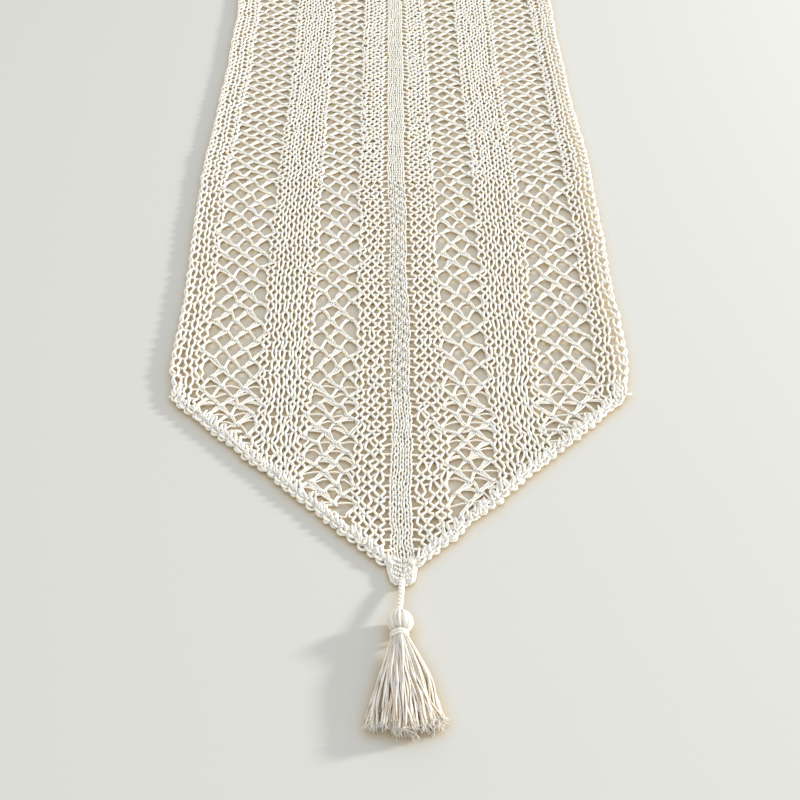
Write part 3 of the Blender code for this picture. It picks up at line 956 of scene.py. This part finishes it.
def add_skirt(end):
    """The loose strands of the tassel, lying on the table, and their frayed ends."""
    yarns, fray = Yarns(), Yarns()
    d = ENDS[end]
    r = rng("skirt", end)
    low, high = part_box(f"tassel_skirt_{end}")
    near, far = sorted((abs(low.y), abs(high.y)))
    middle_height = 0.5 * sum(corner.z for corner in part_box(f"tassel_binding_{end}"))
    half = 0.5 * (high.x - low.x)
    tall = 0.0128  # how high the skirt's middle stands at its end
    t = np.linspace(0, 1, 19)
    bunches = [
        (r.uniform(-1, 1), r.normal(0, 0.0024), r.uniform(0, 6), r.uniform(4.0, 8.0)) for _ in range(BUNCHES)
    ]
    for k in range(SKIRT_STRANDS):
        home, drift, begin, beat = bunches[k % BUNCHES]
        across = float(np.clip(home + r.normal(0, 0.16), -1, 1))
        level = r.random() ** 0.75
        turn = math.atan2(level * 2 - 1, across + r.normal(0, 0.5))
        start = 0.0040 * math.sqrt(r.uniform(0.1, 1.0))
        strand = r.uniform(0.00056, 0.00076)
        x0, z0 = start * math.cos(turn), start * math.sin(turn)
        reach = (far - near) * r.uniform(0.90, 1.01) * (1 - 0.07 * across * across)
        x1 = half * across * (0.94 if across > 0 else 0.98)
        roof = strand + (tall - strand) * math.sqrt(max(0.0, 1 - 0.85 * across * across))
        z1 = strand + (roof - strand) * level * 0.9
        bulge = 0.0010 * across + drift
        wave = 0.0013 * np.sin(begin + beat * t) + 0.0006 * np.sin(r.uniform(0, 6) + t * r.uniform(6, 15))
        x = x0 + (x1 - x0) * t ** 0.95 + bulge * np.sin(math.pi * t) + wave * t**0.7
        x = x + TASSEL_ASIDE + 0.0034 * t
        z = z1 + (middle_height + z0 - z1) * (1 - t) ** 1.6 + 0.0015 * level * np.sin(math.pi * t)
        z = np.maximum(z + 0.0007 * np.sin(r.uniform(0, 6) + t * r.uniform(6, 12)) * t, strand)
        y = d * (near + 0.0004 + reach * t)
        line = np.stack([x, y, z], -1)
        yarns.add(line, strand * (1 - 0.12 * t), sides=6)
        tangent = line[-1] - line[-3]
        tangent /= np.linalg.norm(tangent)
        for _ in range(FRAYS):
            way = tangent + r.normal(0, 0.34, 3)
            way /= np.linalg.norm(way)
            size = r.uniform(0.0016, 0.0038)
            bend = r.normal(0, 0.0012, 3)
            u = np.linspace(0, 1, 6)[:, None]
            tip = line[-1] - tangent * 0.0008 + way * size * u + bend * u**2
            tip[:, 2] = np.maximum(tip[:, 2], 0.0003)
            fray.add(tip, 0.00032 * (1 - 0.5 * u[:, 0]), sides=4)
    obj = yarns.object(f"tassel_strands_{end}", TASSEL, "tassel_yarn")
    ends = fray.object(f"tassel_frayed_ends_{end}", FRAY, "tassel_yarn")
    for piece in (obj, ends):
        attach(piece, f"tassel_{end}")
    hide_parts(f"tassel_skirt_{end}")


KNIT = yarn_material(
    "knit_yarn", dark=(0.88, 0.77, 0.575), light=(0.985, 0.96, 0.88),
    ply=0.0022, painted_shade=0.42, vary=0.8, patch=90,
)
EDGING = yarn_material(
    "edging_yarn", dark=(0.84, 0.73, 0.53), light=(0.97, 0.945, 0.865),
    ply=0.0024, painted_shade=0.46, vary=0.8, patch=90,
)
CORD = yarn_material(
    "cord_yarn", dark=(0.72, 0.58, 0.38), light=(0.97, 0.94, 0.85),
    ply=0.0020, painted_shade=0.8, vary=0.9, patch=90, offset=0.52,
)
TASSEL = yarn_material(
    "tassel_yarn", dark=(0.74, 0.52, 0.26), light=(1.0, 0.975, 0.905),
    ply=0.0018, painted_shade=0.66, vary=3.2, patch=26, offset=0.52,
)
FRAY = yarn_material(
    "frayed_yarn", dark=(0.86, 0.74, 0.54), light=(1.0, 0.975, 0.905),
    ply=0.0018, painted_shade=0.35, vary=1.2, patch=90, offset=0.12,
)
BINDING = yarn_material(
    "binding_yarn", dark=(0.80, 0.68, 0.47), light=(0.97, 0.94, 0.86),
    ply=0.0020, painted_shade=0.5, vary=0.9, patch=90,
)

# Where the cloth is cut into pieces, and the edges of the pieces
CUTS = [-0.545, -0.485, -0.40, -0.315, -0.235, -0.165, -0.105, -0.045]
EDGES = [-1.0] + CUTS + [-c for c in reversed(CUTS)] + [1.0]


def piece_of(y):
    """Which piece of the cloth a row that begins at y belongs to."""
    return int(np.searchsorted(EDGES, y)) - 1


def add_lace():
    """The cloth in pieces one behind the other: rows, and on them the strands of the holes and the rib."""
    rows, strands, rib = ([Yarns() for _ in EDGES[1:]] for _ in range(3))
    for side in SIDES:
        grid = Stitches(side)
        for r in range(len(LEVELS) - 1):
            points = row_points(grid, r)
            if points:
                line = lace_line(grid, points, 2)
                thicker = THICKER if abs(LEVELS[r]) < CHANGE else 1.0
                rows[piece_of(LEVELS[r])].add(line, yarn_radius(line[:, 0]) * thicker)
            for points in second_strands(grid, r):
                strands[piece_of(LEVELS[r])].add(lace_line(grid, points, 2), 0.85 * LATTICE_YARN)
        for end in ENDS:
            for points in edge_stitches(grid, end):
                strands[piece_of(points[2][1])].add(lace_line(grid, points, 3), 0.85 * YARN)
    levels = rib_levels()
    r = rng("rib")
    for row, (low, high) in enumerate(zip(levels, levels[1:])):
        add_rib_row(rib[piece_of(low)], low, high - low, row, r)
    made = []
    for k in range(len(rows)):
        made.append((
            rows[k].object(f"lace_rows_{k:02d}", KNIT, "knit_yarn"),
            strands[k].object(f"lace_strands_{k:02d}", KNIT, "knit_yarn"),
            rib[k].object(f"rib_{k:02d}", KNIT, "knit_yarn"),
        ))
    return made


def tie_cloth(cloth):
    first = {}
    for group, low, high in zip(cloth, EDGES, EDGES[1:]):
        end = "a" if low + high < 0 else "b"
        near, far = sorted((abs(low), abs(high)))
        if low < 0 < high:
            for obj in group:
                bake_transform(obj)
            near = -far
        elif near < CORNER < far < TIP:
            for obj in group:
                bend_over_drop(obj)
        else:
            body = f"half_{end}" if far < CORNER else f"point_{end}"
            for obj in group:
                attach(obj, body)
            first.setdefault(body, group[0])
        far = min(far, TIP)
    for body, obj in first.items():
        nodes = [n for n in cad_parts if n.startswith(body + "_")]
        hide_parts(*nodes)


add_stage()
cloth = add_lace()
tie_cloth(cloth)
for end in ENDS:
    for side in SIDES:
        add_edging(side, end)
    add_tip(end)
    add_cord(end)
    add_head(end)
    add_binding(end)
    add_skirt(end)
